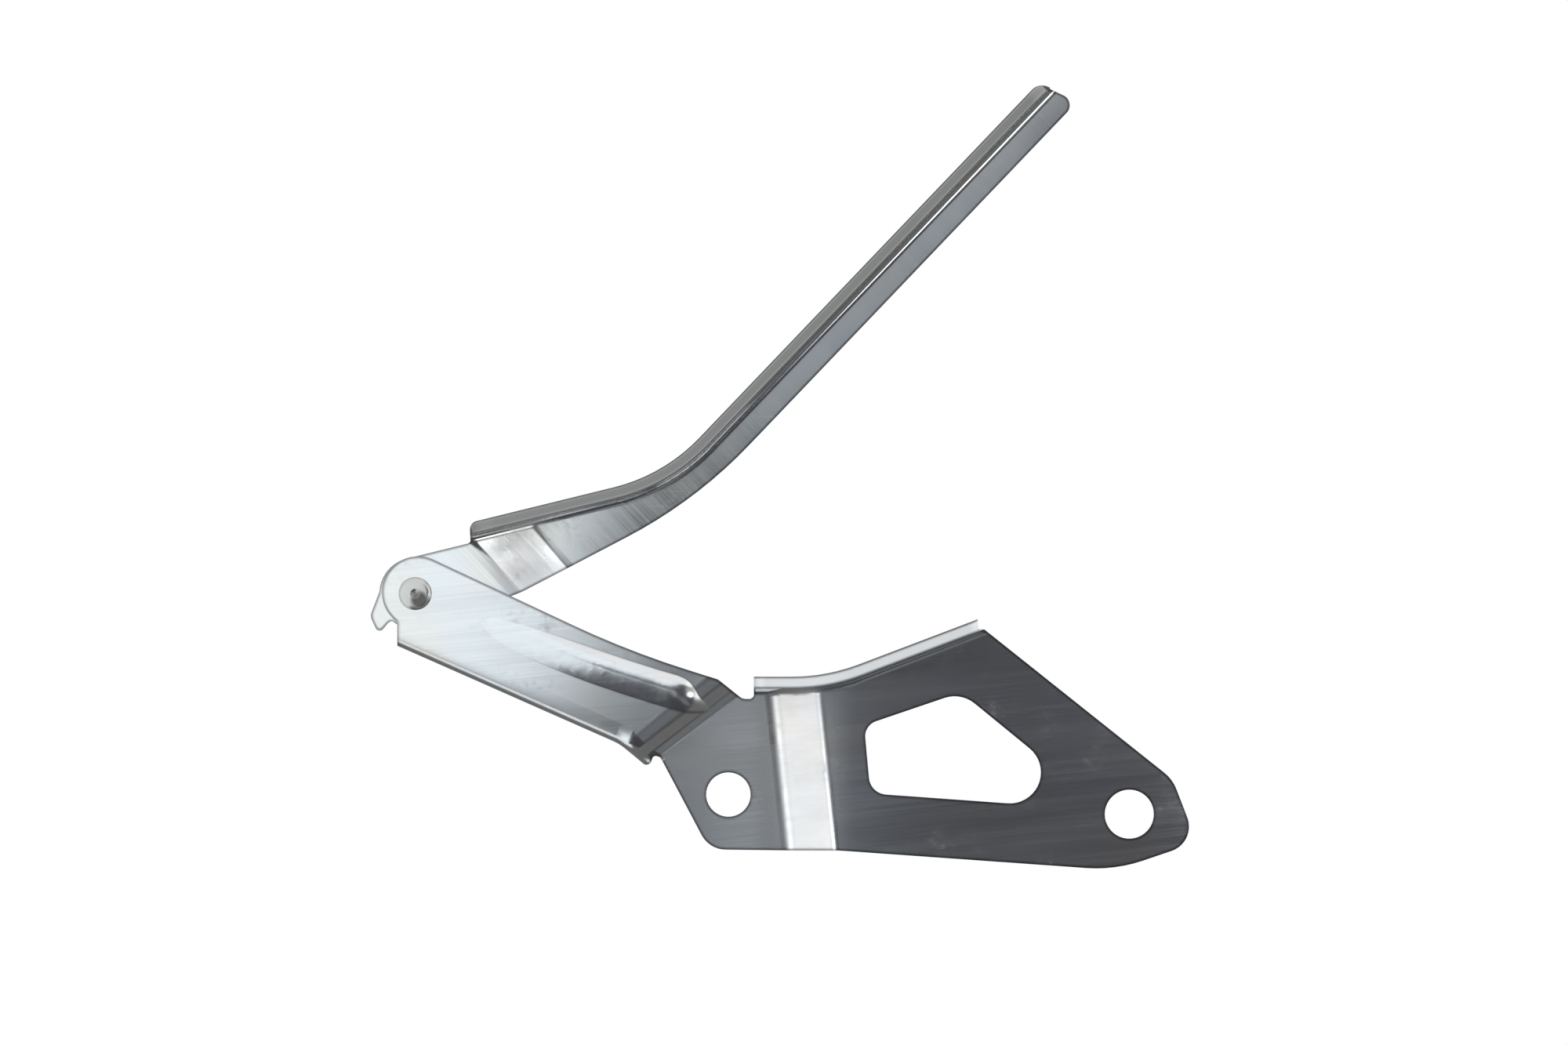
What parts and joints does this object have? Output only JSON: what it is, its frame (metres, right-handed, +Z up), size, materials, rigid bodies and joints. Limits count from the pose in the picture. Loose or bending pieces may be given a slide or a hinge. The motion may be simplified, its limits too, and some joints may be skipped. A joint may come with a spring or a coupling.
{
  "type": "hood hinge",
  "caption": "Riveted vehicle hood hinge: joggled sheet-steel body bracket with lightening cut-out and top flange, and a long flanged hood arm with a stop lug.",
  "frame": {"origin": "centre of the front body bolt hole, on the face of the bracket's plate that seats on the body", "axes": "+Y into the body wall, along the pivot and the body bolts; +X to the front bolt hole from the rear one, level; +Z up, towards the raised hood arm"},
  "size_m": [0.2089, 0.0255, 0.1997],
  "materials": {
    "bracket_steel": "bright zinc plate",
    "arm_steel": "bright zinc plate",
    "rivet_steel": "bright zinc plate",
    "washer_steel": "plain"
  },
  "bodies": {
    "bracket": {"body_bracket": "bracket_steel", "pivot_rivet": "rivet_steel", "pivot_washer": "washer_steel"},
    "hood_arm": {"hood_arm": "arm_steel"}
  },
  "joints": [
    {"name": "hood_pivot", "type": "hinge", "parent": "bracket", "child": "hood_arm", "pos_m": [-0.1822, -0.01015, 0.0564], "axis": [0, -1, 0], "range_deg": [-33, 17]}
  ]
}
